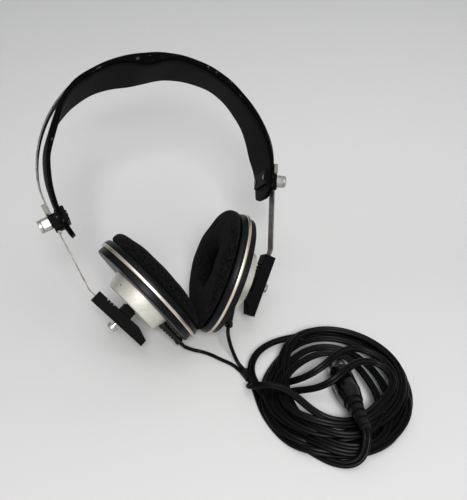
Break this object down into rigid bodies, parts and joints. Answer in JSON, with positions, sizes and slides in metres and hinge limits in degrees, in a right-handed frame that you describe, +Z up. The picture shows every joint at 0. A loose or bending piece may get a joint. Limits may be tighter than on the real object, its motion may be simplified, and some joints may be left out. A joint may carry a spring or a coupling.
{
  "type": "stereo headphones",
  "caption": "Stereo headphones with a steel bow, hung leather head strap, sliding arms, cardan-mounted round cups and a coiled cord with a round plug.",
  "frame": {"origin": "centre of the headset's footprint on the surface that it stands on, the cord left out", "axes": "+X to the right along the line of the ears, seen from the front, +Y to the back, the way the headband leans, +Z up"},
  "size_m": [0.2057, 0.2508, 0.1743],
  "materials": {
    "spring_steel": "rolled spring steel, lightly brushed",
    "leather": "black grained leather with worn edges",
    "aluminium": "satin anodised",
    "black_plastic": "moulded, satin",
    "grey_plastic": "moulded",
    "chrome": "plated screw",
    "steel": "pressed steel",
    "ferrite": "sintered magnet",
    "copper": "enamelled winding",
    "film": "formed film",
    "velour": "black velour",
    "rubber": "soft black insulation",
    "brass": "turned contacts"
  },
  "bodies": {
    "headband": {"bow_spring": "spring_steel", "head_strap": "leather", "strap_rivets": "chrome", "left_slider_guide": "black_plastic", "right_slider_guide": "black_plastic", "left_strap_plate": "black_plastic", "right_strap_plate": "black_plastic", "left_lead": "rubber", "right_lead": "rubber", "cord_junction": "rubber", "cord_trunk": "rubber", "cord_coil": "rubber", "plug_shell": "black_plastic", "plug_relief": "rubber", "plug_sleeve": "steel", "plug_pins": "brass"},
    "left_knob": {"left_knob": "aluminium"},
    "left_arm": {"left_arm_strip": "spring_steel", "left_arm_stop": "grey_plastic", "left_yoke_bar": "black_plastic", "left_yoke_stem": "black_plastic", "left_yoke_screw": "chrome", "left_pivot_pin": "steel"},
    "left_gimbal": {"left_gimbal_ring": "steel", "left_ring_pins": "steel"},
    "left_cup": {"left_cup_bracket": "steel", "left_rear_cap": "aluminium", "left_back_housing": "black_plastic", "left_trim_ring": "aluminium", "left_front_ring": "black_plastic", "left_baffle": "black_plastic", "left_baffle_screws": "chrome", "left_driver_frame": "steel", "left_driver_magnet": "ferrite", "left_voice_coil": "copper", "left_diaphragm": "film", "left_ear_pad": "velour", "left_cable_boot": "rubber"},
    "right_knob": {"right_knob": "aluminium"},
    "right_arm": {"right_arm_strip": "spring_steel", "right_arm_stop": "grey_plastic", "right_yoke_bar": "black_plastic", "right_yoke_stem": "black_plastic", "right_yoke_screw": "chrome", "right_pivot_pin": "steel"},
    "right_gimbal": {"right_gimbal_ring": "steel", "right_ring_pins": "steel"},
    "right_cup": {"right_cup_bracket": "steel", "right_rear_cap": "aluminium", "right_back_housing": "black_plastic", "right_trim_ring": "aluminium", "right_front_ring": "black_plastic", "right_baffle": "black_plastic", "right_baffle_screws": "chrome", "right_driver_frame": "steel", "right_driver_magnet": "ferrite", "right_voice_coil": "copper", "right_diaphragm": "film", "right_ear_pad": "velour", "right_cable_boot": "rubber"}
  },
  "joints": [
    {"name": "left_knob_turn", "type": "hinge", "parent": "headband", "child": "left_knob", "pos_m": [-0.07689, 0.00127, 0.08616], "axis": [-0.9659, -0.1608, -0.2028], "range_deg": [0, 180]},
    {"name": "left_arm_slide", "type": "slide", "parent": "headband", "child": "left_arm", "axis": [-0.2588, 0.6, 0.757], "range_m": [0, 0.033], "deforming": ["left_lead"]},
    {"name": "left_cup_tilt", "type": "hinge", "parent": "left_arm", "child": "left_gimbal", "pos_m": [-0.03735, -0.03864, 0.0358], "axis": [0, 0.7837, -0.6211], "range_deg": [0, 14], "deforming": ["left_lead"]},
    {"name": "left_cup_swivel", "type": "hinge", "parent": "left_gimbal", "child": "left_cup", "pos_m": [-0.03735, -0.03864, 0.0358], "axis": [-0.5195, 0.5307, 0.6696], "range_deg": [-8, 8], "deforming": ["left_lead"]},
    {"name": "right_knob_turn", "type": "hinge", "parent": "headband", "child": "right_knob", "pos_m": [0.07689, 0.00127, 0.08616], "axis": [0.9659, -0.1608, -0.2028], "range_deg": [0, 180]},
    {"name": "right_arm_slide", "type": "slide", "parent": "headband", "child": "right_arm", "axis": [0.2588, 0.6, 0.757], "range_m": [0, 0.033], "deforming": ["right_lead"]},
    {"name": "right_cup_tilt", "type": "hinge", "parent": "right_arm", "child": "right_gimbal", "pos_m": [0.03735, -0.03864, 0.0358], "axis": [0, -0.7837, 0.6211], "range_deg": [0, 14], "deforming": ["right_lead"]},
    {"name": "right_cup_swivel", "type": "hinge", "parent": "right_gimbal", "child": "right_cup", "pos_m": [0.03735, -0.03864, 0.0358], "axis": [0.5195, 0.5307, 0.6696], "range_deg": [-8, 8], "deforming": ["right_lead"]}
  ]
}
